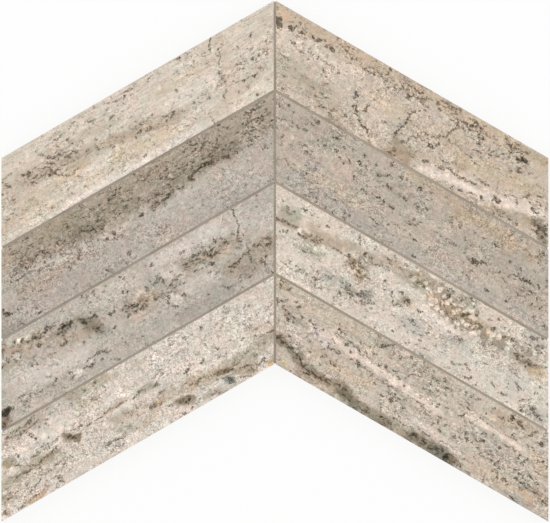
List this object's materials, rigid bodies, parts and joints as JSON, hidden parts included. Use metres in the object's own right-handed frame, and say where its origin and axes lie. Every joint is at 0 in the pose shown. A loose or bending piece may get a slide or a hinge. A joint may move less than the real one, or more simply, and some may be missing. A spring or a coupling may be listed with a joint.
{
  "type": "chevron mosaic wall tile",
  "caption": "Flat arrow-shaped sheet of parallelogram stone-look porcelain tiles with filled joints and a backing net, for covering walls.",
  "frame": {"origin": "middle of the sheet's outline, on the plane that its backing net lies on", "axes": "+X across the sheet, +Y the way the arrows point, +Z out of the tiles' faces"},
  "size_m": [0.3036, 0.2892, 0.0094],
  "materials": {
    "porcelain": "honed travertine look, matt",
    "grout": "fine sanded cement filler, matt",
    "net": "resin-coated glass-fibre strands"
  },
  "bodies": {
    "root": {"tile_left_1": "porcelain", "tile_left_2": "porcelain", "tile_left_3": "porcelain", "tile_left_4": "porcelain", "tile_right_1": "porcelain", "tile_right_2": "porcelain", "tile_right_3": "porcelain", "tile_right_4": "porcelain", "joint_grout": "grout", "backing_net_left": "net", "backing_net_right": "net"}
  },
  "joints": []
}
